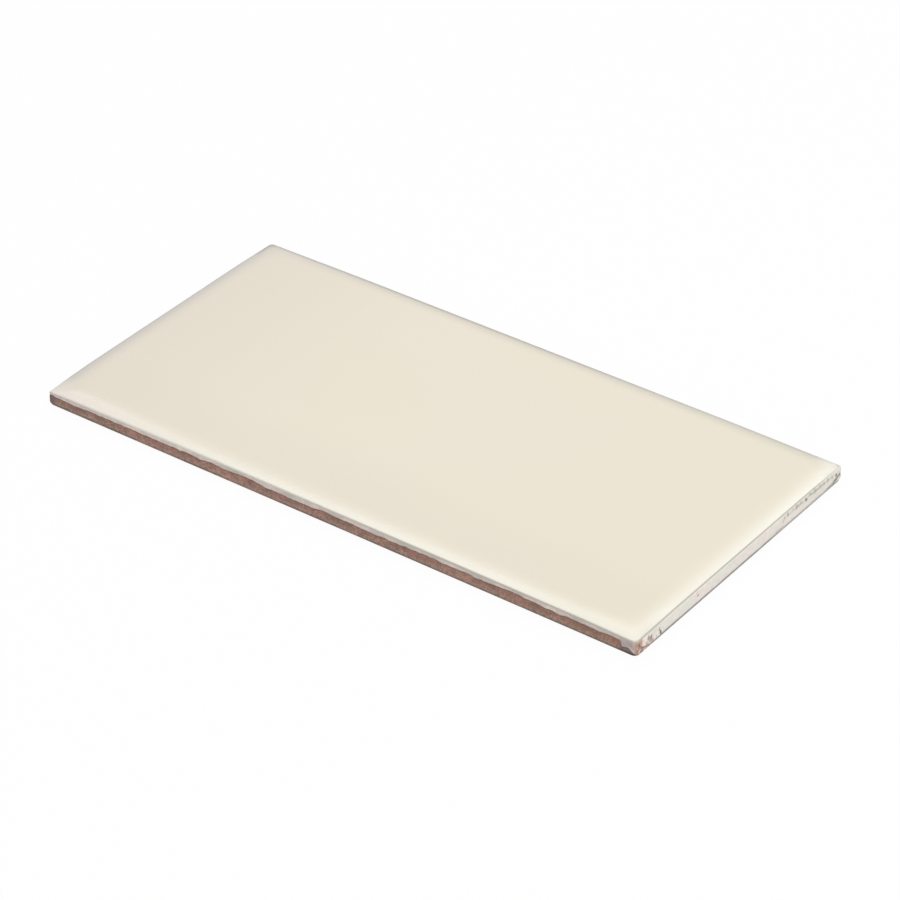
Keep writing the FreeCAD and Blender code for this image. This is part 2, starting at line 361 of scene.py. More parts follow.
# %% Work out the crown and its arris
def crown_points(top, arris_radius, corner_radius, crown_steps, arris_steps):
    """From the flat of the face out over the crown and the arris: inset, corner radius, height."""
    arc_radius = (CROWN_WIDTH**2 + CROWN_DROP**2) / (2 * CROWN_DROP)
    reach = arc_radius - arris_radius
    lean = math.asin((CROWN_WIDTH - arris_radius) / reach)
    centre_z = top - arc_radius + reach * math.cos(lean)
    places = []
    for step in range(crown_steps):
        angle = lean * step / crown_steps
        places.append((CROWN_WIDTH - arc_radius * math.sin(angle), top - arc_radius * (1 - math.cos(angle))))
    for step in range(arris_steps + 1):
        angle = lean + (math.pi / 2 - lean) * step / arris_steps
        places.append((arris_radius * (1 - math.sin(angle)), centre_z + arris_radius * math.cos(angle)))
    growth = (CROWN_CORNER_RADIUS - corner_radius) / CROWN_WIDTH
    return [(inset, corner_radius + growth * inset, height) for inset, height in places]


outer_crown = crown_points(TOP, GLAZE_ARRIS_RADIUS, CORNER_RADIUS, 12, 6)
inner_crown = crown_points(CLAY_TOP, CLAY_ARRIS_RADIUS, CORNER_RADIUS - SIDE_GLAZE, 4, 3)
print(f"the glazed arris ends {1000 * outer_crown[-1][2]:.2f} mm above the back")

# %% [markdown]
# ## The glaze coat
#
# Glaze is poured or sprayed on as a slurry of glass and clay. It melts in the kiln, pulls itself smooth,
# and stops at a rounded lip where it runs out on the side. The lip wanders, because the slurry ran down
# unevenly before it dried. Painting that line on would leave the side flat, so the coat is a closed
# shell: over the crown, down the side, round the lip, and back up against the clay.

# %% The section of the coat
LIP = SIDE_GLAZE / 2
LIP_TURN = 0.6 * math.pi
RUN_Z = ARRIS_Z - 1.55 * MM
WAIST, BEHIND, UNDER = 0.03 * MM, 0.04 * MM, 0.02 * MM
SIDE_STEPS, LIP_STEPS = 8, 4


def glaze_section():
    """Points of the coat's section, and how far each follows the run line: 0 stays, 1 moves with it."""
    points = [(*point, 0.0) for point in outer_crown]
    side_top = outer_crown[-1][2]
    for step in range(1, SIDE_STEPS + 1):
        share = step / SIDE_STEPS
        height = side_top + (RUN_Z + LIP - side_top) * share
        inset = WAIST * math.sin(math.pi * share) ** 2
        points.append((inset, CORNER_RADIUS - inset, height, share))
    for step in range(1, LIP_STEPS + 1):
        angle = LIP_TURN * step / LIP_STEPS
        inset = LIP * (1 - math.cos(angle))
        points.append((inset, CORNER_RADIUS - inset, RUN_Z + LIP - LIP * math.sin(angle), 1.0))
    behind = SIDE_GLAZE + BEHIND
    points.append((behind, CORNER_RADIUS - behind, RUN_Z + LIP, 1.0))
    points.append((behind, CORNER_RADIUS - behind, inner_crown[-1][2], 0.0))
    for inset, radius, height in reversed(inner_crown):
        points.append((inset + SIDE_GLAZE, radius, height - UNDER, 0.0))
    return points


section = glaze_section()
glaze_coat = new_piece("glaze_shell", [point[:3] for point in section])
follows_run = glaze_coat.data.attributes.new("follows_run", "FLOAT", "POINT")
follows_run.data.foreach_set("value", [point[3] for point in section])
print(len(section), "points in the section of the coat")

# %% [markdown]
# The run line is a rule too. The walk round the tile starts at the front corner of the trailing end and
# goes along that end first, where the glaze covers nearly everything. On the long sides it stops a little
# over a millimetre under the arris, with slow waves. On the front side it ran further here and there, or
# less far, and those places are listed one by one. At the front corner a tongue of glaze ran to the foot,
# and just past it the clay stayed bare. The rule is a node group, because the clay needs it too: a painted
# shadow darkens it just under the lip.

# %% How far the glaze runs down, all the way round
LONG_DEPTH, END_DEPTH, HEAD_DEPTH, LEAST_DEPTH = 1.25, 3.75, 0.95, 0.8
SLOW_LENGTH, SLOW_HEIGHT, QUICK_LENGTH, QUICK_HEIGHT = 10.0, 0.75, 2.6, 0.2
# Place from the left corner, reach to both sides, extra depth.
FRONT_RUNS = (
    (14.5, 3.5, 0.35), (46.0, 6.0, 0.32), (73.0, 6.0, -0.36), (87.5, 9.0, 0.6), (98.0, 4.5, -0.42),
    (117.0, 7.0, 0.47), (135.0, 7.0, -0.4), (146.0, 8.0, -0.12), (160.5, 7.0, -0.52), (170.5, 3.5, 0.3),
    (191.0, 6.0, -0.28),
)


def wave(walked, seed, length, height):
    """A slow random wave along the walk, up and down by height."""
    noise = new_node(
        walked.tree, "ShaderNodeTexNoise", 0, {"noise_dimensions": "1D"},
        W=walked / length + seed, Scale=1.0, Detail=2.0,
    )
    return (noise - 0.5) * (2.0 * height)


def run_line_tree():
    """Depth of the run line below the arris, in millimetres, from the millimetres walked round the tile."""
    tree, wires, leave = new_tree(
        "glaze_run_line", ("Walked", "Total", "Short Side", "Long Side", "Wave Height", "Seed"),
        outputs=("Depth",),
    )
    walked, total, seed = wires["Walked"], wires["Total"], wires["Seed"]
    short, long = wires["Short Side"], wires["Long Side"]
    far_corner, head_corner = short - 2.0, short + long - 3.0
    front_corner = short + long + short - 4.0
    steps = (
        (0.2, 1.0, 1.4), (0.9, 2.6, 0.7), (2.0, 6.8, END_DEPTH - LEAST_DEPTH - 2.1),
        (far_corner + 4.0, far_corner + 8.0, LONG_DEPTH - END_DEPTH),
        (head_corner - 3.0, head_corner, HEAD_DEPTH - LONG_DEPTH),
        (front_corner + 3.9, front_corner + 4.9, 0.4),
        (front_corner + 12.0, front_corner + 18.0, LONG_DEPTH - HEAD_DEPTH - 0.4),
        (total - 5.6, total - 5.25, 1.6), (total - 5.0, total - 3.7, -0.3),
        (total - 3.4, total - 1.2, 1.2), (total - 0.9, total - 0.4, LEAST_DEPTH - LONG_DEPTH - 2.5),
    )
    depth = LEAST_DEPTH
    for start, stop, rise in steps:
        depth = ramp(walked, start, stop, 0.0, rise) + depth
    quiet = ramp(walked, 2.0, 6.0) * ramp(walked, total - 6.4, total - 5.8, 1.0, 0.0)
    on_end = ramp(walked, short - 2.0, short + 4.0, 0.2, 1.0)
    slow = wave(walked, seed, SLOW_LENGTH, SLOW_HEIGHT)
    quick = wave(walked, seed + 31.0, QUICK_LENGTH, QUICK_HEIGHT)
    depth = depth + (slow + quick) * quiet * on_end * wires["Wave Height"]
    for place, reach, extra in FRONT_RUNS:
        away = math_node("ABSOLUTE", walked - (front_corner + 1.7 + place))
        depth = depth + ramp(away, reach, 0.0, 0.0, extra)
    plug(math_node("MAXIMUM", depth, LEAST_DEPTH), leave.inputs[0])
    return tree


run_line = run_line_tree()
print("run line of", len(run_line.nodes), "nodes")


# %% Walk round the tile
def run_height(wires, sides, quarters):
    """Height of the run line at a column, in metres."""
    length, width, corner = (wires["Outline " + name] for name in ("Length", "Width", "Radius"))
    straight_x, straight_y = length - 2.0 * corner, width - 2.0 * corner
    arc = corner * (math.pi / 2)
    walked = straight_y * (sides[0] + sides[2]) + straight_x * (sides[1] + sides[3]) + arc * quarters
    depth = new_node(
        corner.tree, "GeometryNodeGroup", settings={"node_tree": run_line}, Walked=walked * 1000.0,
        Total=(straight_y + straight_x) * 2000.0 + arc * 4000.0,
        Short_Side=width * 1000.0, Long_Side=length * 1000.0,
        Wave_Height=wires["Wave Height"], Seed=wires["Seed"],
    )
    return wires["Arris Height"] - depth * 0.001


RUN_INPUTS = ("Outline Length", "Outline Width", "Outline Radius", "Arris Height", "Wave Height", "Seed")
RUN_VALUES = {
    "outline_length": 2 * HALF_LENGTH, "outline_width": 2 * HALF_WIDTH, "outline_radius": CORNER_RADIUS,
    "arris_height": ARRIS_Z, "wave_height": 1.0, "seed": 4.0,
}

# %% [markdown]
# No tile is as true as its drawing. The fired corners sag a little, the most at the front left, and they
# are rounder at the foot, where the tile was knocked about. Each point of the coat also keeps two numbers
# for the finish: how far it is above the lip, and its level before the corners sagged. A coat of glaze is
# thinner and shows more of the clay near its lip, wherever the lip wanders, and it breaks at the arris,
# however far that has sagged.

# %% Grow the coat round the tile
def corner_radius(radius, inset, height, sides):
    """The corner's radius, larger at the foot, and smaller at the front left."""
    front_left = ramp(sides[2], 0.6, 1.0) * ramp(sides[3], 0.4, 0.0)
    grown = radius + ramp(height, 1.9 * MM, 0.5 * MM, 0.0, FOOT_CORNER_GROWTH)
    return grown - front_left * ramp(inset, 2.0 * MM, 0.0) * FRONT_LEFT_SHARPER


def sagged(x, y, inset, height):
    """The height once the corners have sagged, which fades out on the flat and at the foot."""
    at_back = ramp(math_node("ABSOLUTE", x), 0.6 * HALF_LENGTH, HALF_LENGTH)
    at_front = ramp(x, 0.8 * HALF_LENGTH, HALF_LENGTH)
    at_front = at_front + ramp(x, -0.25 * HALF_LENGTH, -0.95 * HALF_LENGTH, 0.0, 1.4)
    tip = ramp(x, -0.93 * HALF_LENGTH, -HALF_LENGTH)
    tip = tip * ramp(y, -0.86 * HALF_WIDTH, -HALF_WIDTH, 0.0, 0.6)
    fall = at_back * ramp(y, 0.6 * HALF_WIDTH, HALF_WIDTH) + tip
    fall = fall + at_front * ramp(y, -0.6 * HALF_WIDTH, -HALF_WIDTH)
    shared = ramp(height, 1.0 * MM, ARRIS_Z, kind="LINEAR") * ramp(inset, CROWN_WIDTH, 0.0)
    return height - fall * shared * CORNER_SAG


def glaze_tree():
    tree, wires, leave = new_tree("run_glaze_over_tile", (
        ("Geometry", "Geometry"), ("Columns", "Int"), "Corner Share", "Run Height", *RUN_INPUTS,
        ("Material", "Material"),
    ))
    grid, row, column, inset, radius, height = section_grid(wires)
    half_length, half_width = wires["Outline Length"] * 0.5, wires["Outline Width"] * 0.5
    sides, quarters = way_round(wires["Columns"], column, half_length, half_width, wires["Corner Share"])
    line = run_height(wires, sides, quarters)
    follow = read_number(wires["Geometry"], row, "follows_run")
    height = height + follow * (line - wires["Run Height"])
    radius = corner_radius(radius, inset, height, sides)
    x, y = ring_point(sides, quarters, half_length, half_width, inset, radius)
    grid = keep_levels(grid, line, height)
    finish_shell(grid, join_xyz(x, y, sagged(x, y, inset, height)), wires["Material"], leave)
    return tree


def close_holes(piece, material):
    """Closes each open loop with a flat face, turns every face outwards, and gives all one finish."""
    bm = bmesh.new()
    bm.from_mesh(piece.data)
    edges = [edge for edge in bm.edges if edge.is_boundary]
    bmesh.ops.holes_fill(bm, edges=edges, sides=0)
    bmesh.ops.recalc_face_normals(bm, faces=bm.faces)
    if bm.calc_volume(signed=True) < 0:
        bmesh.ops.reverse_faces(bm, faces=bm.faces)
    for face in bm.faces:
        face.material_index = 0
    bm.to_mesh(piece.data)
    piece.data.materials.clear()
    piece.data.materials.append(material)
    open_edges = sum(1 for edge in bm.edges if not edge.is_manifold)
    print(f"{piece.name}: {len(bm.faces)} faces, {1e6 * bm.calc_volume():.2f} cm3, {open_edges} open edges")
    bm.free()


glaze_material = bpy.data.materials.new("cream_glaze")
run_tree(
    glaze_coat, glaze_tree(), columns=2000, corner_share=0.1, run_height=RUN_Z,
    material=glaze_material, **RUN_VALUES,
)
close_holes(glaze_coat, glaze_material)

# %% [markdown]
# ## The clay body
#
# The body is red clay, pressed from damp powder in a steel die and fired. Its sides are upright and
# slightly rough, its foot is rounded off where the die's two halves met, and a rim runs round the ribbed
# field of the back. The same rule carries its section round the tile.

# %% The section of the clay
CLAY_CORNER_RADIUS = CORNER_RADIUS - SIDE_GLAZE
FIELD_INSET = RIM_WIDTH - SIDE_GLAZE
FIELD_DRAFT = RIM_HEIGHT * math.tan(math.radians(20.0))
SOFT = 0.15 * MM
WALL_STEPS, FOOT_STEPS = 12, 6


def clay_section():
    points = list(inner_crown)
    wall_top, wall_foot = inner_crown[-1][2], RIM_HEIGHT + FOOT_RADIUS
    for step in range(1, WALL_STEPS):
        points.append((0.0, CLAY_CORNER_RADIUS, wall_top + (wall_foot - wall_top) * step / WALL_STEPS))
    for step in range(FOOT_STEPS + 1):
        angle = math.pi / 2 * step / FOOT_STEPS
        inset = FOOT_RADIUS * (1 - math.cos(angle))
        points.append((inset, CLAY_CORNER_RADIUS - inset, wall_foot - FOOT_RADIUS * math.sin(angle)))
    lean = FIELD_DRAFT / RIM_HEIGHT
    for inset, height in (
        (-SOFT, RIM_HEIGHT), (0.3 * SOFT, RIM_HEIGHT - 0.3 * SOFT),
        (SOFT * lean + 0.05 * MM, RIM_HEIGHT - SOFT), (FIELD_DRAFT - SOFT * lean, SOFT),
        (FIELD_DRAFT + 0.3 * SOFT, 0.3 * SOFT), (FIELD_DRAFT + SOFT, 0.0),
    ):
        points.append((FIELD_INSET + inset, RIB_WIDTH - inset, height))
    return points


section = clay_section()
clay_body = new_piece("clay_biscuit", section)
print(len(section), "points in the section of the clay")

# %% [markdown]
# The back carries a waffle of shallow cells, all alike. Cutting seventy-two pockets would be slow. One
# cell with half a rib round it is drawn once, as rings that follow the same rounded-rectangle rule, and
# Geometry Nodes stamps it on a grid of points. Neighbouring stamps meet exactly, so welding them leaves
# one skin.

# %% Draw one cell of the waffle
PITCH_X = 2 * (HALF_LENGTH - RIM_WIDTH - RIB_WIDTH / 2) / CELLS_LONG
PITCH_Y = 2 * (HALF_WIDTH - RIM_WIDTH - RIB_WIDTH / 2) / CELLS_WIDE
CELL_CORNER = 1.3 * MM


def cell_rings():
    """Rings of one cell, from the middle of the ribs to its floor: inset, corner radius, height."""
    lip = RIB_WIDTH / 2
    return [
        (0.0, 0.0, 0.0),
        (lip - SOFT, CELL_CORNER + SOFT, 0.0),
        (lip + 0.3 * SOFT, CELL_CORNER, 0.3 * SOFT),
        (lip + FIELD_DRAFT - SOFT * 0.5, CELL_CORNER - 0.1 * MM, RIM_HEIGHT - SOFT),
        (lip + FIELD_DRAFT + 0.3 * SOFT, CELL_CORNER - 0.15 * MM, RIM_HEIGHT - 0.3 * SOFT),
        (lip + FIELD_DRAFT + SOFT * 1.6, CELL_CORNER - 0.3 * MM, RIM_HEIGHT),
    ]


def rounded_ring(half_x, half_y, radius, straight_steps=6, corner_steps=4):
    """Points of a rounded rectangle, the same number whatever its radius."""
    points = []
    ways = ((1, -1), (1, 1), (-1, 1), (-1, -1))
    centres = [Vector((x * (half_x - radius), y * (half_y - radius))) for x, y in ways]
    for quarter, centre in enumerate(centres):
        start_angle = (quarter - 1) * math.pi / 2
        for step in range(corner_steps + 1):
            angle = start_angle + math.pi / 2 * step / corner_steps
            points.append(centre + radius * Vector((math.cos(angle), math.sin(angle))))
        next_centre = centres[(quarter + 1) % 4]
        offset = points[-1] - centre
        for step in range(1, straight_steps):
            points.append(centre.lerp(next_centre, step / straight_steps) + offset)
    return points


def draw_cell():
    points, faces = [], []
    for inset, radius, height in cell_rings():
        ring = rounded_ring(PITCH_X / 2 - inset, PITCH_Y / 2 - inset, radius)
        points.extend((place.x, place.y, height) for place in ring)
    count = len(ring)
    for row in range(len(cell_rings()) - 1):
        low, high = row * count, (row + 1) * count
        for column in range(count):
            after = (column + 1) % count
            faces.append((low + column, high + column, high + after, low + after))
    return new_piece("waffle_cell", points, faces=faces)


waffle_cell = draw_cell()
print(f"one cell: {len(waffle_cell.data.polygons)} faces")
print(f"pitch {1000 * PITCH_X:.2f} x {1000 * PITCH_Y:.2f} mm")

# %% [markdown]
# Fired clay isn't smooth. The pressed sides have a fine grain, which breaks up the light on them. The tree
# moves the points of the side in by a few hundredths of a millimetre, so that the roughness is in the
# shape, and the material adds only what is finer. The body also swells a little at the front left corner,
# where its foot is sharp. From there the foot gets rounder up to the middle of the front side.

# %% Grow the clay and stamp its back
GRAIN_SCALE, GRAIN_DEPTH, SWELLING = 900.0, 0.06 * MM, 0.2 * MM


def foot_share(sides):
    """How round the foot is on the way round: sharper at the front left, a little rounder past the middle."""
    share = 1.0 - ramp(sides[2], 0.7, 1.0, 0.0, 0.55)
    share = share + ramp(sides[3], 0.0, 0.55, 0.0, 0.65, kind="LINEAR")
    return share - ramp(sides[3], 0.9, 1.0, 0.0, 0.1)


def clay_tree():
    tree, wires, leave = new_tree("press_clay_body", (
        ("Geometry", "Geometry"), ("Columns", "Int"), "Half Length", "Half Width", "Corner Share",
        "Roughness", "Swelling", ("Cell", "Object"), ("Cells Long", "Int"), ("Cells Wide", "Int"),
        "Pitch X", "Pitch Y", *RUN_INPUTS, ("Material", "Material"),
    ))
    grid, row, column, inset, radius, height = section_grid(wires)
    halves = wires["Half Length"], wires["Half Width"]
    sides, quarters = way_round(wires["Columns"], column, *halves, wires["Corner Share"])
    on_wall = ramp(inset, FIELD_INSET - 1.0 * MM, FIELD_INSET - 1.4 * MM)
    radius = radius + (corner_radius(radius, inset + SIDE_GLAZE, height, sides) - radius) * on_wall
    in_foot = math_node("LESS_THAN", height, RIM_HEIGHT + 1.001 * FOOT_RADIUS) * on_wall
    share = 1.0 + (foot_share(sides) - 1.0) * in_foot
    inset = inset * share
    height = RIM_HEIGHT + (height - RIM_HEIGHT) * share
    x, y = ring_point(sides, quarters, *halves, inset, radius)
    place = join_xyz(x, y, height)
    grain = new_node(tree, "ShaderNodeTexNoise", Vector=place, Scale=GRAIN_SCALE, Detail=3.0)
    on_side = ramp(height, 0.75 * MM, 1.0 * MM) * ramp(height, 4.6 * MM, 5.0 * MM, 1.0, 0.0)
    at_corner = ramp(x, 4.0 * MM - HALF_LENGTH, 1.5 * MM - HALF_LENGTH)
    at_corner = at_corner * ramp(y, 4.0 * MM - HALF_WIDTH, 1.5 * MM - HALF_WIDTH)
    at_corner = at_corner * ramp(height, 0.9 * MM, 1.5 * MM) * ramp(height, 4.5 * MM, 4.1 * MM)
    dent = grain * on_side * wires["Roughness"] - at_corner * wires["Swelling"]
    x, y = ring_point(sides, quarters, *halves, inset + dent, radius)
    grid = keep_levels(grid, run_height(wires, sides, quarters), height)
    height = sagged(x, y, inset + SIDE_GLAZE, height)
    centres = new_node(
        tree, "GeometryNodeMeshGrid", "Mesh", Vertices_X=wires["Cells Long"], Vertices_Y=wires["Cells Wide"],
        Size_X=(wires["Cells Long"] - 1.0) * wires["Pitch X"],
        Size_Y=(wires["Cells Wide"] - 1.0) * wires["Pitch Y"],
    )
    cell = new_node(tree, "GeometryNodeObjectInfo", "Geometry", Object=wires["Cell"])
    stamps = new_node(tree, "GeometryNodeInstanceOnPoints", Points=centres, Instance=cell)
    finish_shell(grid, join_xyz(x, y, height), wires["Material"], leave, extra=stamps)
    return tree


def close_field(piece):
    """Fills the flat strip of the back between the waffle and the field's edge."""
    bm = bmesh.new()
    bm.from_mesh(piece.data)
    edges = [e for e in bm.edges if e.is_boundary and all(abs(v.co.z) < 1e-6 for v in e.verts)]
    bmesh.ops.triangle_fill(bm, edges=edges, use_beauty=True, normal=(0.0, 0.0, -1.0))
    bm.to_mesh(piece.data)
    bm.free()


clay_material = bpy.data.materials.new("fired_clay")
run_tree(
    clay_body, clay_tree(), columns=1200, half_length=CLAY_HALF_LENGTH, half_width=CLAY_HALF_WIDTH,
    corner_share=0.06, roughness=GRAIN_DEPTH, swelling=SWELLING, cell=waffle_cell,
    cells_long=CELLS_LONG, cells_wide=CELLS_WIDE, pitch_x=PITCH_X, pitch_y=PITCH_Y,
    material=clay_material, **RUN_VALUES,
)
bpy.data.objects.remove(waffle_cell)
close_field(clay_body)
close_holes(clay_body, clay_material)

# %% Put both pieces on the frame
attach(glaze_coat, "root")
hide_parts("glaze_coat")
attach(clay_body, "root")
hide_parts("clay_body")
print("on the frame:", glaze_coat.name, "and", clay_body.name)


# %% [markdown]
# ## Effects that both finishes use
#
# The glaze and the clay share a few effects: cloudy patches, small pits, single marks, and a fine relief.
# Each is a shader node group, built once, and placed in a material with its own values. A group gives out
# only a mask or a height. Sizes are in millimetres, because that is how a tile maker thinks of them.

# %% Colours over colours
def blend(mask, under, over):
    """Lays one colour over another where the mask is 1."""
    node = mask.tree.nodes.new("ShaderNodeMix")
    node.data_type = "RGBA"
    for value, index in ((mask, 0), (under, 6), (over, 7)):
        if isinstance(value, tuple):
            value = (*value, 1.0)
        plug(value, node.inputs[index])
    return Wire(node.outputs[2])


def layered(colour, *layers):
    """Lays colours over one another, each given as its mask and itself, the lowest first."""
    for mask, over in layers:
        colour = blend(mask, colour, over)
    return colour


# %% Build the shared groups
def effect_tree(name, inputs, output="Mask"):
    return new_tree(name, inputs, "ShaderNodeTree", (output,))


def patches_group():
    tree, wires, leave = effect_tree("cloudy_patches", (
        ("Place", "Vector"), ("Size", 5.0), ("Detail", 2.0), ("Share", 0.5), ("Softness", 0.1), ("Seed", 0.0),
    ))
    cloud = new_node(
        tree, "ShaderNodeTexNoise", 0, {"noise_dimensions": "4D"}, Vector=wires["Place"],
        W=wires["Seed"], Scale=1.0 / wires["Size"], Detail=wires["Detail"],
    )
    middle = 0.62 - wires["Share"] * 0.24
    plug(ramp(cloud, middle - wires["Softness"], middle + wires["Softness"]), leave.inputs[0])
    return tree


def pits_group():
    tree, wires, leave = effect_tree("small_pits", (
        ("Place", "Vector"), ("Spacing", 1.0), ("Width", 0.2), ("Share", 0.3),
    ))
    cells = tree.nodes.new("ShaderNodeTexVoronoi")
    plug(wires["Place"], cells.inputs["Vector"])
    plug(1.0 / wires["Spacing"], cells.inputs["Scale"])
    hue = tree.nodes.new("ShaderNodeSeparateColor")
    tree.links.new(cells.outputs["Color"], hue.inputs[0])
    width = wires["Width"] / wires["Spacing"] * (Wire(hue.outputs[1]) + 0.3)
    near = ramp(Wire(cells.outputs["Distance"]), width * 0.5, width, 1.0, 0.0)
    chosen = math_node("LESS_THAN", Wire(hue.outputs[0]), wires["Share"])
    plug(near * chosen, leave.inputs[0])
    return tree


def mark_group():
    tree, wires, leave = effect_tree("single_mark", (
        "Along", "Height", "Centre Along", "Centre Height", ("Length", 1.0), ("Thickness", 0.2),
        ("Turn", 0.0), ("Bend", 0.0), ("Strength", 1.0),
    ))
    across, up = wires["Along"] - wires["Centre Along"], wires["Height"] - wires["Centre Height"]
    cosine, sine = math_node("COSINE", wires["Turn"]), math_node("SINE", wires["Turn"])
    lengthwise = (across * cosine + up * sine) / (wires["Length"] * 0.5)
    bow = lengthwise * lengthwise * wires["Bend"]
    sideways = (up * cosine - across * sine - bow) / (wires["Thickness"] * 0.5)
    away = math_node("SQRT", lengthwise * lengthwise + sideways * sideways)
    plug(ramp(away, 0.6, 1.5, wires["Strength"], 0.0), leave.inputs[0])
    return tree


def relief_group():
    tree, wires, leave = effect_tree("fine_relief", (
        ("Place", "Vector"), ("Size", 1.0), ("Detail", 2.0), ("Depth", 1.0),
    ), "Height")
    noise = new_node(
        tree, "ShaderNodeTexNoise", Vector=wires["Place"], Scale=1.0 / wires["Size"], Detail=wires["Detail"],
    )
    plug((noise - 0.5) * wires["Depth"], leave.inputs[0])
    return tree


patches, pits, mark, relief = patches_group(), pits_group(), mark_group(), relief_group()
print("shared effects:", [group.name for group in (patches, pits, mark, relief)])


# %% Place an effect in a material
def place_group(group, **values):
    return new_node(tree_of(values.values()), "ShaderNodeGroup", settings={"node_tree": group}, **values)


def cloud(place, size, detail, share, softness, seed):
    """Cloudy patches of this size that cover this share."""
    return place_group(
        patches, Place=place, Size=size, Detail=detail, Share=share, Softness=softness, Seed=seed
    )


def pitted(place, spacing, width, share):
    """Small pits this far apart, in this share of the places for one."""
    return place_group(pits, Place=place, Spacing=spacing, Width=width, Share=share)


def rough(place, size, detail, depth):
    """A fine relief with waves of this size."""
    return place_group(relief, Place=place, Size=size, Detail=detail, Depth=depth)


def place_marks(along, height, marks):
    """The strongest of several marks, each given by its centre, its height there, and its form."""
    strongest = 0.0
    for centre, centre_height, length, thickness, turn, bend, strength in marks:
        one = place_group(
            mark, Along=along, Height=height, Centre_Along=centre, Centre_Height=centre_height,
            Length=length, Thickness=thickness, Turn=math.radians(turn), Bend=bend, Strength=strength,
        )
        strongest = math_node("MAXIMUM", one, strongest)
    return strongest


# %% [markdown]
# Every finish starts from the same readings: where a point is, in millimetres, how high it was before the
# corners sagged, and how far it lies above the glaze's lip. Object coordinates give the place, so that the
# pattern stays on the tile when it moves.

# %% Open and close a material
END_X = 1000 * HALF_LENGTH
CROWN_X, CROWN_Y = 1000 * (HALF_LENGTH - CROWN_WIDTH), 1000 * (HALF_WIDTH - CROWN_WIDTH)
FACE_Z, ARRIS_MM = 1000 * TOP, ARRIS_Z / MM


def start_material(material):
    """Opens a material and reads the place: all of it, x, y, height, level, distance above the lip."""
    material.use_nodes = True
    tree = material.node_tree
    shader = tree.nodes["Principled BSDF"]
    shader.inputs["Coat Weight"].default_value = 0.0
    own = new_node(tree, "ShaderNodeTexCoord", "Object")
    place = new_node(tree, "ShaderNodeMapping", Vector=own, Scale=(1000.0, 1000.0, 1000.0))
    names = ("level", "above_lip")
    kept = [new_node(tree, "ShaderNodeAttribute", "Fac", {"attribute_name": name}) for name in names]
    return shader, place, *split_xyz(place), *kept


def finish_material(shader, colour, roughness, height, depth):
    """Joins a colour, a roughness and a relief to the shader, and tells how many nodes it all took."""
    plug(colour, shader.inputs["Base Color"])
    plug(roughness, shader.inputs["Roughness"])
    bump = new_node(shader.id_data, "ShaderNodeBump", Height=height, Distance=depth * MM)
    plug(bump, shader.inputs["Normal"])
    print(len(shader.id_data.nodes), "nodes")


# %% [markdown]
# ## The cream glaze
#
# On the face the glaze is thick, even and cream. It breaks over the arris: where it thins on the sharp
# bend, the clay greys it, and a fine dark line runs round the tile. On the sides it is only a thin coat,
# grey-white at the trailing end, and darker, greenish and lilac by turns, on the long sides. Painting this
# by hand would fit one tile only. Instead most changes of colour follow a cause: the height, the distance
# to the lip, or a cloudy patch. The face also carries painted light, placed by where it lies: painted shade
# towards its ends, along its front, on its back and left borders and along its back edge, and a painted
# highlight on its front and right borders.

# %% Colours of the glaze
CREAM, WARM_CREAM = (0.853, 0.792, 0.652), (0.857, 0.786, 0.66)
# Painted shade: the face is painted darker towards its left end than in the middle, and a little darker
# towards its right end.
LEFT_SHADE_CREAM, RIGHT_SHADE_CREAM = (0.81, 0.742, 0.625), (0.842, 0.782, 0.639)
# Painted shade along the front of the face.
FRONT_SHADE_CREAM = (0.795, 0.74, 0.62)
# The back and left borders are painted grey: the glaze thins over the edge there, and painted shade falls
# where they tilt away from the light.
# The break grey is the glaze's own where it thins at the arris, and also a painted line of shade along the
# back edge.
BREAK_AND_SHADE_GREY, BORDER_THIN_AND_SHADE_GREY, BORDER_THIN_AND_SHADE_BLUE = (0.40, 0.365, 0.315), (0.53, 0.51, 0.44), (0.575, 0.545, 0.54)
# Painted highlight on the front and right borders: whiter and brighter on the right, and dimmed again near
# the front corner as painted shade.
HIGHLIGHT_CREAM, HIGHLIGHT_PINK, DIMMED_HIGHLIGHT = (0.815, 0.79, 0.69), (0.85, 0.785, 0.72), (0.755, 0.73, 0.635)
END_HIGHLIGHT, END_HIGHLIGHT_BRIGHT = (0.85, 0.835, 0.745), (0.93, 0.92, 0.83)
END_COAT, END_PINK, END_GREEN = (0.76, 0.71, 0.64), (0.775, 0.685, 0.64), (0.69, 0.69, 0.62)
SIDE_COAT, SIDE_LILAC, SIDE_GREEN = (0.86, 0.73, 0.655), (0.71, 0.585, 0.585), (0.52, 0.49, 0.42)
END_MOTTLE, END_BLUSH = (0.66, 0.60, 0.55), (0.86, 0.73, 0.67)
SMEARED, SMOKE, RUST = (0.56, 0.55, 0.47), (0.11, 0.098, 0.075), (0.29, 0.18, 0.14)
BARE_CLAY, LIP_GREY, TONGUE_LILAC = (0.42, 0.26, 0.20), (0.36, 0.34, 0.31), (0.42, 0.36, 0.36)

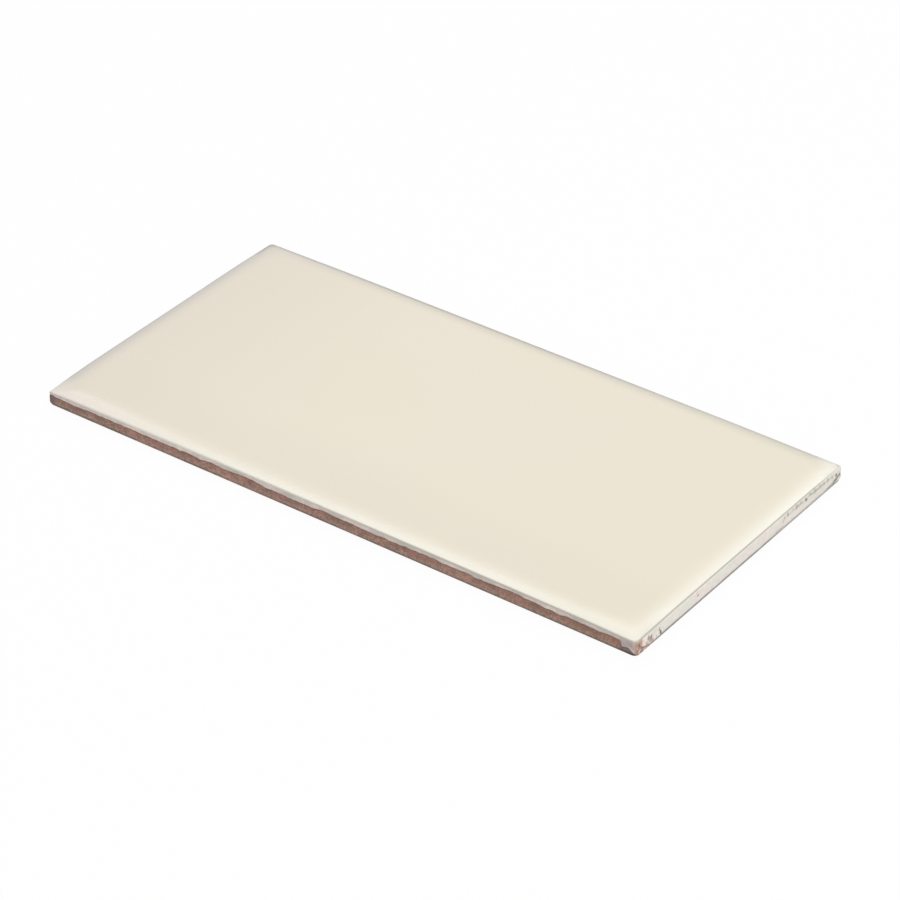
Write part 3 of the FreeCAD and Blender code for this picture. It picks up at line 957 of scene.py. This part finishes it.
# %% Marks on the trailing end
# Centre along the end and its height, length, thickness, turn in degrees, bend, strength.
DARK_MARKS = (
    (-39.5, 3.7, 1.5, 0.65, 98, 0.0, 0.7), (-39.0, 2.6, 1.5, 0.85, 108, 0.0, 1.0),
    (-40.9, 2.6, 0.9, 0.4, 80, 0.0, 0.4), (-48.9, 4.6, 1.9, 0.4, 100, 0.1, 0.6),
    (-21.4, 4.0, 0.7, 0.6, 110, 0.0, 0.8), (-22.0, 5.0, 0.6, 0.5, 0, 0.0, 0.3),
    (20.2, 4.1, 2.4, 0.45, 66, 0.3, 0.5), (22.2, 4.9, 1.2, 0.7, 110, 0.0, 0.6),
    (24.6, 5.1, 0.9, 0.6, 60, 0.0, 0.3), (26.6, 4.9, 1.3, 1.0, 110, 0.0, 0.5),
    (28.6, 5.0, 1.2, 1.0, 100, 0.0, 0.4), (31.3, 4.6, 1.4, 0.9, 125, 0.0, 0.95),
    (33.6, 5.1, 1.7, 0.8, 170, 0.0, 0.5), (35.9, 5.0, 1.4, 1.1, 120, 0.0, 0.5),
    (37.4, 4.9, 7.5, 0.9, 0, 0.0, 0.35), (38.3, 5.1, 1.2, 0.9, 40, 0.0, 0.45),
    (40.6, 4.9, 1.3, 0.7, 110, 0.0, 0.4), (42.4, 5.0, 1.2, 0.9, 60, 0.0, 0.5),
    (44.6, 4.8, 1.0, 0.7, 120, 0.0, 0.45), (27.6, 4.8, 3.6, 0.8, 0, 0.0, 0.3),
    (46.9, 4.2, 1.2, 0.9, 120, 0.0, 0.9), (45.2, 3.3, 1.6, 0.5, 60, 0.0, 0.3),
    (48.6, 3.5, 1.4, 1.1, 100, 0.0, 0.7), (46.6, 2.7, 4.2, 1.1, 22, 0.0, 0.85),
    (43.2, 2.1, 4.0, 0.8, 8, 0.0, 0.6), (49.4, 3.2, 1.0, 2.0, 0, 0.0, 0.3),
)
RUST_MARKS = (
    (-44.5, 4.1, 1.8, 0.9, 98, 0.1, 0.8), (-43.4, 3.6, 1.7, 1.3, 80, 0.0, 0.9),
    (-45.4, 3.1, 1.6, 0.9, 150, 0.0, 0.5), (-43.2, 2.6, 2.4, 0.9, 160, 0.0, 0.7),
    (-46.8, 4.4, 1.2, 0.5, 60, 0.0, 0.3), (18.0, 2.4, 3.4, 0.7, 0, 0.0, 0.35),
)
print(len(DARK_MARKS), "dark marks,", len(RUST_MARKS), "brown ones")

# %% Where the glaze changes
shader, place, x, y, _, z, above_lip = start_material(glaze_material)
on_side = ramp(z, ARRIS_MM + 0.02, ARRIS_MM - 0.25)
on_end = ramp(x, END_X - 1.3, END_X - 0.35)
off_end = 1.0 - on_end
from_arris = (z - ARRIS_MM - on_end * 0.09) * (1.0 + on_end * 0.6)
broken = ramp(from_arris, 0.22, 0.04) * ramp(from_arris, -0.35, -0.1)
near_front = ramp(y, 3.0 - CROWN_Y, -4.0 - CROWN_Y)
near_end = ramp(x, CROWN_X - 3.0, CROWN_X + 4.0)
# The back and left borders, which carry painted shade; the front and right ones carry a painted highlight.
back_and_left = 1.0 - math_node("MAXIMUM", near_front, near_end)
border = ramp(z, FACE_Z - 0.03, ARRIS_MM + 0.1, kind="LINEAR")
leading = ramp(x, -40.0, -90.0)
# Painted shade on the face along its front side.
front_shade = ramp(y, -18.0, -40.0, 0.0, 0.5) * ramp(y, -47.5, -43.0)
# A painted line of shade along the back edge of the crown.
back_edge_shade = ramp(z, 6.1, 5.75) * ramp(y, 40.0, 44.0) * ramp(x, 60.0, 0.0, 0.2, 0.7)
smeared = ramp(y, 16.0, 24.0) * ramp(z, 3.8, 4.5)
smeared_front = ramp(y, -35.0, -40.0) * ramp(z, 4.6, 5.3)
bare = on_end * ramp(y, -46.7, -48.0) * ramp(z, ARRIS_MM + 0.05, ARRIS_MM - 0.1)
worn = ramp(x, -95.0, 30.0, 0.15, 0.85, kind="LINEAR") * near_front * off_end
worn = worn + (1.0 - near_front) * off_end * 0.8 + on_end * ramp(y, 34.0, 48.0, 0.8, 0.35)

# Each cloud: size, detail, share covered, softness of its rim, seed.
warm = cloud(place, 45.0, 2.0, 0.5, 0.2, 2.0)
pink = cloud(place, 5.5, 2.0, 0.4, 0.12, 5.0)
green = cloud(place, 6.5, 2.0, 0.3, 0.12, 9.0)
mottled = cloud(place, 1.5, 3.0, 0.45, 0.1, 27.0)
flecks = cloud(place, 0.45, 2.0, 0.4, 0.1, 61.0)
scuffed = cloud(place, 1.6, 4.0, 0.4, 0.08, 14.0)
tongue = ramp(x, 94.0, 95.5) * ramp(z, 5.2, 4.4, 0.7, 0.9) * (0.75 + mottled * 0.4)

# %% Lay the glaze's colours over one another
# The face carries painted shade towards both ends and along its front side.
face = layered(
    CREAM, (warm, WARM_CREAM), (ramp(x, -30.0, -100.0), LEFT_SHADE_CREAM),
    (ramp(x, 30.0, 90.0), RIGHT_SHADE_CREAM), (front_shade, FRONT_SHADE_CREAM),
)
end = layered(
    END_COAT, (pink, END_PINK), (green, END_GREEN), (mottled * 0.45, END_MOTTLE),
    (smeared * 0.45, SMEARED), (smeared_front * 0.3, SMEARED), (flecks * (0.25 + smeared * 0.2), SMEARED),
)
side = layered(
    SIDE_COAT, (pink, SIDE_LILAC), (green * 0.8, SIDE_GREEN), (mottled * 0.3, SIDE_GREEN),
    (flecks * 0.35, SIDE_GREEN), (ramp(x, -40.0, -80.0) * ramp(z, 4.9, 5.2) * 0.35, SIDE_GREEN),
    (tongue, TONGUE_LILAC), (ramp(z, 3.7, 2.6) * 0.8, SIDE_LILAC),
)
coat = layered(
    side, (on_end, end), (ramp(above_lip, 0.0, 0.45, 0.35, 0.0) * off_end, LIP_GREY),
    (on_end * ramp(y, -43.5, -46.5) * 0.6, END_BLUSH),
    (ramp(above_lip, 0.0, 0.8, 0.45, 0.0) * on_end * ramp(y, -44.0, -36.0), LIP_GREY),
)
# A painted highlight on the front border, pinker to the left and dimmed near the front corner, and a brighter
# one on the right border.
front_highlight = layered(HIGHLIGHT_CREAM, (leading, HIGHLIGHT_PINK), (ramp(x, 55.0, 92.0), DIMMED_HIGHLIGHT))
end_highlight = layered(
    END_HIGHLIGHT, (ramp(y, -30.0, 40.0), END_HIGHLIGHT_BRIGHT), (ramp(y, -34.0, -45.0), DIMMED_HIGHLIGHT),
)
# The borders: painted shade on the back and left, and a painted highlight on the front and right.
colour = layered(
    face, (border * back_and_left * 0.8, blend(leading, BORDER_THIN_AND_SHADE_GREY, BORDER_THIN_AND_SHADE_BLUE)),
    (border * (1.0 - back_and_left), blend(near_end, front_highlight, end_highlight)), (back_edge_shade, BREAK_AND_SHADE_GREY),
    (on_side, coat), (broken * worn, BREAK_AND_SHADE_GREY), (bare, BARE_CLAY),
)

# %% Add the marks and the relief
wobble = rough(place, 0.7, 2.0, 0.9)
dark_marks = place_marks(y + wobble, z + wobble, DARK_MARKS) * on_end
rust_marks = place_marks(y + wobble, z + wobble, RUST_MARKS) * on_end
pinholes = pitted(place, 1.1, 0.22, 0.14) * on_side
colour = layered(
    colour, (rust_marks, RUST), (math_node("MAXIMUM", dark_marks, pinholes * 0.45), SMOKE),
)
roughness = 0.22 + on_side * (0.1 + scuffed * 0.2) + rust_marks * 0.3
skin = rough(place, 4.0, 1.0, 0.35)
grit = rough(place, 0.5, 3.0, 1.0) * on_side
finish_material(shader, colour, roughness, skin + grit - (dark_marks + pinholes) * on_side, 0.05)

# %% [markdown]
# ## The fired clay
#
# The body is brick red where it fired clean, and browner where the powder was damp or smoke reached it.
# Fine pits and pale grains show on the pressed side. A painted shadow darkens the clay just under the
# glaze's lip, and the foot is painted darker and greyer all round as painted shade where it rounds under,
# over bare grey clay on the trailing end. The clay is near black at the foot of the front right corner.
# The back carries the same clay, a little paler.

# %% Colours of the clay
BRICK, ROSE, UMBER = (0.475, 0.27, 0.20), (0.58, 0.27, 0.235), (0.22, 0.135, 0.10)
# A painted shadow brown for the clay under the glaze's lip, also used to darken the pits.
# The foot's grey is painted shade where the foot rounds under.
SHADE_AND_PIT_BROWN, FOOT_SHADE_GREY, END_SLIP = (0.13, 0.085, 0.07), (0.17, 0.15, 0.13), (0.46, 0.275, 0.21)
# The trailing end's foot strip: bare grey clay, darkened with painted shade under the rounded foot, paler
# towards the back.
END_FOOT_CLAY_AND_SHADE, END_FOOT_CLAY_AND_SHADE_PALE = (0.285, 0.28, 0.265), (0.45, 0.44, 0.415)
PLUM, DUST, EMBER = (0.17, 0.12, 0.13), (0.60, 0.45, 0.39), (0.47, 0.20, 0.15)
SLIP_WHITE, OCHRE, NEAR_BLACK = (0.78, 0.66, 0.60), (0.34, 0.17, 0.11), (0.05, 0.045, 0.04)
PALE_GRAIN, BACK_CLAY, RUBBED_CLAY = (0.52, 0.36, 0.28), (0.42, 0.255, 0.195), (0.60, 0.42, 0.34)

# %% Where the clay changes
shader, place, x, y, height, z, above_lip = start_material(clay_material)
rose = cloud(place, 3.0, 4.0, 0.35, 0.08, 21.0)
umber = cloud(place, 3.5, 5.0, 0.4, 0.1, 33.0)
damp = cloud(place, 8.0, 3.0, 0.45, 0.12, 88.0)
foot_shade_patches = cloud(place, 14.0, 2.0, 0.5, 0.06, 3.0)
speckle = cloud(place, 0.8, 3.0, 0.4, 0.1, 41.0)
pepper = cloud(place, 0.35, 2.0, 0.45, 0.1, 73.0)
embers = cloud(place, 1.8, 3.0, 0.03, 0.06, 57.0)
blotches = cloud(place, 1.1, 3.0, 0.35, 0.06, 95.0)
grains, holes = pitted(place, 0.7, 0.3, 0.3), pitted(place, 0.55, 0.2, 0.25)
wander = rough(place, 1.5, 3.0, 1.2)

on_back = ramp(z, 0.72, 0.55)
on_end = ramp(x, END_X - 0.9, END_X - 0.4)
off_end = 1.0 - on_end
bare_corner = on_end * ramp(y, -40.0, -46.0)
# Bare clay at the foot of the trailing end, painted darker as painted shade under the rounded foot.
end_foot_clay_and_shade = on_end * ramp(y, -46.0, -40.0)
# Painted shade, in patches, darkening the clay towards the foot where it rounds under.
foot = ramp(z + wander * 0.4, 1.75, 1.35) * ramp(z, 0.5, 0.6)
foot = foot * (0.45 + foot_shade_patches * 0.45) * (1.0 - on_end * 0.3)
dark_grain = (speckle * 0.5 + pepper * 0.4) * (1.0 - on_back * 0.5) * (1.0 - end_foot_clay_and_shade * 0.7)
below_tongue = ramp(x + wander, 93.5, 95.0) * ramp(z, 3.4, 2.8) * off_end
# Darker, and near black, at the foot of the front right corner.
dark_corner_foot = ramp(x + wander, 93.5, 95.5) * ramp(z, 2.0, 1.5) * off_end
black_corner_foot = ramp(x + wander, 95.5, 97.0) * ramp(z, 1.9, 1.4) * off_end
head_corner = ramp(x + wander, -97.0, -98.6)
# Painted shadow on the clay just under the glaze's lip; the dark foot of the front right corner is joined to
# it.
lip_shadow_and_dark_foot = ramp(above_lip + wander * 0.2, -0.65, -0.1) * ramp(z, 1.0, 1.3)
lip_shadow_and_dark_foot = math_node("MAXIMUM", lip_shadow_and_dark_foot * (0.8 - on_end * 0.6), dark_corner_foot)

# %% Lay the clay's colours over one another
colour = layered(
    BRICK, (rose, ROSE), (umber * 0.75, UMBER), (damp * 0.25, UMBER),
    (ramp(x, 45.0, 82.0) * 0.5, OCHRE),
    (on_back * 0.7, blend(ramp(height, 0.3, 0.1), BACK_CLAY, RUBBED_CLAY)),
    (ramp(z, 3.3, 1.6) * 0.4, DUST), (bare_corner * (0.4 + rose * 0.5), END_SLIP), (foot, FOOT_SHADE_GREY),
    (end_foot_clay_and_shade * 0.9, blend(ramp(y, 12.0, 22.0), END_FOOT_CLAY_AND_SHADE, END_FOOT_CLAY_AND_SHADE_PALE)), (dark_grain, UMBER),
    (embers * 0.55 * off_end, EMBER), (grains * (0.55 - end_foot_clay_and_shade * 0.4), PALE_GRAIN),
    (bare_corner * speckle * 0.5, UMBER), (bare_corner * blotches * 0.6, SLIP_WHITE),
    (below_tongue * 0.5, PLUM), (head_corner * 0.75, PLUM),
    (math_node("MAXIMUM", lip_shadow_and_dark_foot, holes * 0.4), SHADE_AND_PIT_BROWN), (black_corner_foot * 0.8, NEAR_BLACK),
)
roughness = 0.82 - lip_shadow_and_dark_foot * 0.2 + rose * 0.08
press = rough(place, 0.35, 4.0, 1.0)
finish_material(shader, colour, roughness, press - holes * 0.8 + grains * 0.3, 0.06)

# %% [markdown]
# ## The floor, the lamps and the world
#
# The photograph's ground is pure white and all but shadowless. More light would wash out the tile, so the
# floor glows fully only for the camera and for reflections. For all other light it is grey paper that keeps
# the tile's shadow, with a faint glow of its own mixed in, painted light that adds to what reaches the tile.
# From below the camera looks through it, so that the back can be seen. Right under the tile the paper is cut
# out, where no view from above shows it, and lets light reach the back.

# %% Lay the floor
FLOOR_Z, FLOOR_REACH, WINDOW_INSET = -0.05 * MM, 6.0, 3.0 * MM
floor_points = []
for reach_x, reach_y in (
    (FLOOR_REACH, FLOOR_REACH), (HALF_LENGTH - WINDOW_INSET, HALF_WIDTH - WINDOW_INSET),
):
    floor_points.extend((reach_x * x, reach_y * y, FLOOR_Z) for x, y in ((-1, -1), (1, -1), (1, 1), (-1, 1)))
floor_faces = [(side, (side + 1) % 4, 4 + (side + 1) % 4, 4 + side) for side in range(4)]
floor = new_piece("floor", floor_points, faces=floor_faces)
print("floor of", len(floor_faces), "strips round the window under the tile")


# %% Make the paper
def seen_directly(tree):
    """1 for rays of the camera, of mirrors and of glass, 0 for the light that falls on things."""
    path = tree.nodes.new("ShaderNodeLightPath")
    rays = [Wire(path.outputs[name]) for name in ("Is Camera Ray", "Is Glossy Ray", "Is Transmission Ray")]
    return math_node("ADD", rays[0] + rays[1], rays[2], clamp=True)


def mix_shaders(tree, *inputs):
    """Mixes two shaders: the second one's share, the first, the second."""
    node = tree.nodes.new("ShaderNodeMixShader")
    for value, socket in zip(inputs, node.inputs):
        plug(value, socket)
    return Wire(node.outputs[0])


def grey(level):
    return (level, level, level, 1.0)


floor_material = bpy.data.materials.new("white_sweep")
floor_material.use_nodes = True
tree = floor_material.node_tree
tree.nodes.clear()
paper = new_node(tree, "ShaderNodeBsdfDiffuse", Color=grey(0.62))
bright_paper = new_node(tree, "ShaderNodeBsdfDiffuse", Color=grey(0.95))
white_glow = new_node(tree, "ShaderNodeEmission", Strength=1.0)
# For the light that falls on the tile the paper glows faintly: painted light added to the tile's lighting.
faintly_glowing_paper = mix_shaders(tree, 0.2, paper, white_glow)
white_paper = mix_shaders(tree, 0.955, bright_paper, white_glow)
from_above = mix_shaders(tree, seen_directly(tree), faintly_glowing_paper, white_paper)
from_below = new_node(tree, "ShaderNodeBsdfTransparent")
seen_from_below = new_node(tree, "ShaderNodeNewGeometry", "Backfacing")
leave = tree.nodes.new("ShaderNodeOutputMaterial")
plug(mix_shaders(tree, seen_from_below, from_above, from_below), leave.inputs["Surface"])
floor.data.materials.append(floor_material)
print("paper of", len(tree.nodes), "nodes")

# %% [markdown]
# A wide softbox at the right lights the trailing end most and the front side less. It has no mirror image,
# because from behind that would wash out the whole face. A second one high at the back stands where only
# the soft border of the face mirrors it, so the front and right borders carry a pale line of light and the
# flat face carries none. The world fills in the rest.

# %% Hang the lamps
WORLD_LIGHT = 0.38


def softbox(name, direction, distance, size, power):
    """A rectangular lamp in this direction from the tile, turned towards it."""
    data = bpy.data.lights.new(name, "AREA")
    data.shape = "RECTANGLE"
    data.size, data.size_y = size
    data.energy = power
    lamp = bpy.data.objects.new(name, data)
    bpy.context.scene.collection.objects.link(lamp)
    away = Vector(direction).normalized()
    lamp.location = away * distance
    lamp.rotation_mode = "QUATERNION"
    lamp.rotation_quaternion = (-away).to_track_quat("-Z", "Y")
    return lamp


key = softbox("key", (0.76, -0.33, 0.56), 2.8, (3.0, 3.0), 70.0)
key.visible_glossy = False
rim = softbox("rim", (-0.26, 0.35, 0.90), 3.0, (2.1, 1.5), 23.5)
world = bpy.data.worlds.new("studio")
bpy.context.scene.world = world
world.use_nodes = True
tree = world.node_tree
background = tree.nodes["Background"]
plug(ramp(seen_directly(tree), 0.0, 1.0, WORLD_LIGHT, 1.0, kind="LINEAR"), background.inputs["Strength"])
background.inputs["Color"].default_value = grey(1.0)
bpy.context.scene.view_settings.view_transform = "Standard"
print("lamps:", key.name, rim.name)
